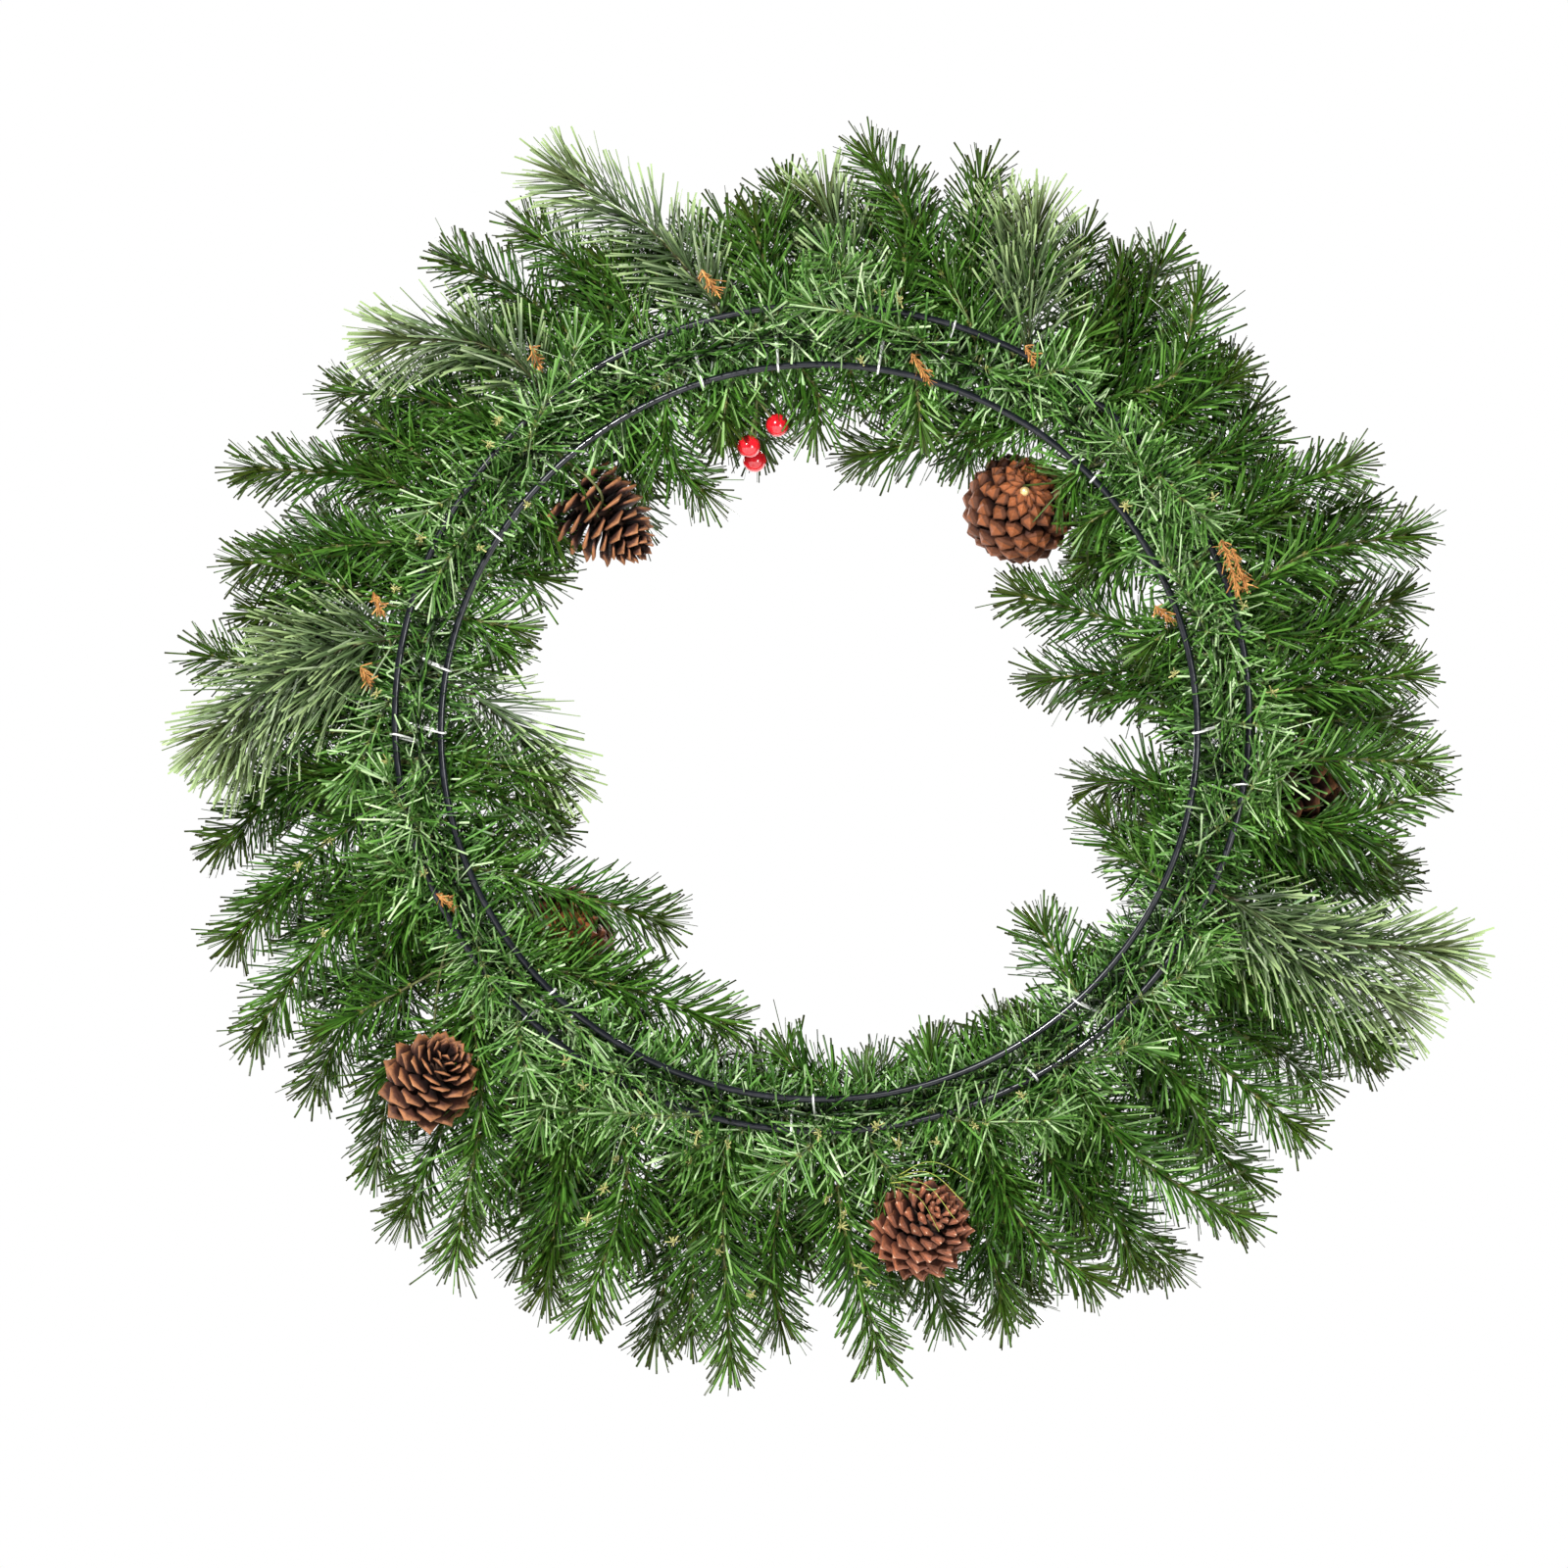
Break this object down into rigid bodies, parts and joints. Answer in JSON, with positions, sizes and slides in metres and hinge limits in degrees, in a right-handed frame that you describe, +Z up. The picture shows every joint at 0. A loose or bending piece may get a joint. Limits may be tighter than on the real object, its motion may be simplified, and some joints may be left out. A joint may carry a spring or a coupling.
{
  "type": "berry wreath",
  "caption": "Artificial pine wreath on a wire ring frame, with sprays of pine and soft cashmere needles, pine cones and red berries round an open centre.",
  "frame": {"origin": "where a hook or nail carries the wreath: the underside of the outer ring's wire, at its top", "axes": "+Z up as it hangs, +X to the right when the back with its wire rings is seen, +Y out of the display side, away from the wall"},
  "size_m": [0.756, 0.137, 0.7278],
  "materials": {
    "coated_wire": "dark coated steel wire, satin",
    "silver_wire": "bare galvanised wire",
    "fringe_needles": "short cut green film needles on twisted wire",
    "pine_needles": "cut green film needles on twisted wire",
    "cashmere_needles": "long soft needles, grey green with pale tips",
    "pine_cone": "dry reddish brown natural cone",
    "berries": "glossy red lacquer"
  },
  "bodies": {
    "root": {"ring_outer": "coated_wire", "ring_inner": "coated_wire", "tie_inner_top_left": "silver_wire", "tie_inner_top_right": "silver_wire", "tie_inner_right": "silver_wire", "tie_inner_bottom_left": "silver_wire", "tie_inner_left": "silver_wire", "tie_outer_top": "silver_wire", "garland_1": "fringe_needles", "garland_2": "fringe_needles", "garland_3": "fringe_needles", "garland_4": "fringe_needles", "garland_5": "fringe_needles", "cashmere_top_left": "cashmere_needles", "cashmere_upper_left": "cashmere_needles", "cashmere_left": "cashmere_needles", "cashmere_right": "cashmere_needles", "cashmere_top_right": "cashmere_needles", "cashmere_top": "cashmere_needles", "cashmere_inner_left": "cashmere_needles", "pine_top_left": "pine_needles", "pine_upper_left": "pine_needles", "pine_left_high": "pine_needles", "pine_left_low": "pine_needles", "pine_lower_left_high": "pine_needles", "pine_lower_left_low": "pine_needles", "pine_bottom_left_outer": "pine_needles", "pine_bottom_left_inner": "pine_needles", "pine_bottom": "pine_needles", "pine_bottom_right_inner": "pine_needles", "pine_bottom_right_outer": "pine_needles", "pine_lower_right_low": "pine_needles", "pine_lower_right_high": "pine_needles", "pine_right_middle_low": "pine_needles", "pine_right_low": "pine_needles", "pine_right_middle": "pine_needles", "pine_right_high": "pine_needles", "pine_upper_right_low": "pine_needles", "pine_upper_right_high": "pine_needles", "pine_top_right": "pine_needles", "pine_top": "pine_needles", "pine_top_middle": "pine_needles", "pine_inner_top_right": "pine_needles", "pine_inner_top": "pine_needles", "pine_inner_top_left": "pine_needles", "pine_inner_left_high": "pine_needles", "pine_inner_left_low": "pine_needles", "pine_inner_bottom_left": "pine_needles", "pine_inner_bottom": "pine_needles", "pine_inner_bottom_right": "pine_needles", "pine_inner_right_low": "pine_needles", "pine_inner_right_high": "pine_needles", "cone_upper_left": "pine_cone", "cone_upper_right": "pine_cone", "cone_lower_left": "pine_cone", "cone_bottom": "pine_cone", "cone_right": "pine_cone", "cone_inner_left": "pine_cone", "berries_top": "berries", "berries_lower_left": "berries"}
  },
  "joints": []
}
